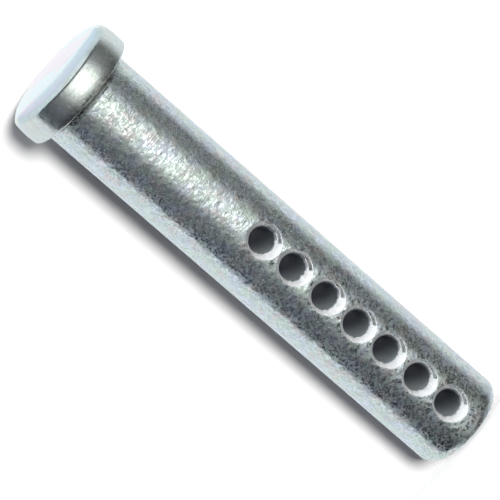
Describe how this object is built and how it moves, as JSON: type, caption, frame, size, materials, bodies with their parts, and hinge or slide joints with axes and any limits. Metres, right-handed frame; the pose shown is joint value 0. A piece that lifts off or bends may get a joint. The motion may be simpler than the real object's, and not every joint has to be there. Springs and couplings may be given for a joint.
{
  "type": "clevis pin",
  "caption": "Headed clevis pin with a plain round shank, a rounded point and a row of countersunk cross holes along its lower half for a cotter.",
  "frame": {"origin": "centre of the flat end face that the pin stands on", "axes": "+Z along the pin from the end face to the head; the cross holes run along Y"},
  "size_m": [0.016, 0.016, 0.0675],
  "materials": {
    "zinc_plate": "bright zinc plate with a faint mottle and fine scratches"
  },
  "bodies": {
    "root": {"clevis_pin": "zinc_plate"}
  },
  "joints": []
}
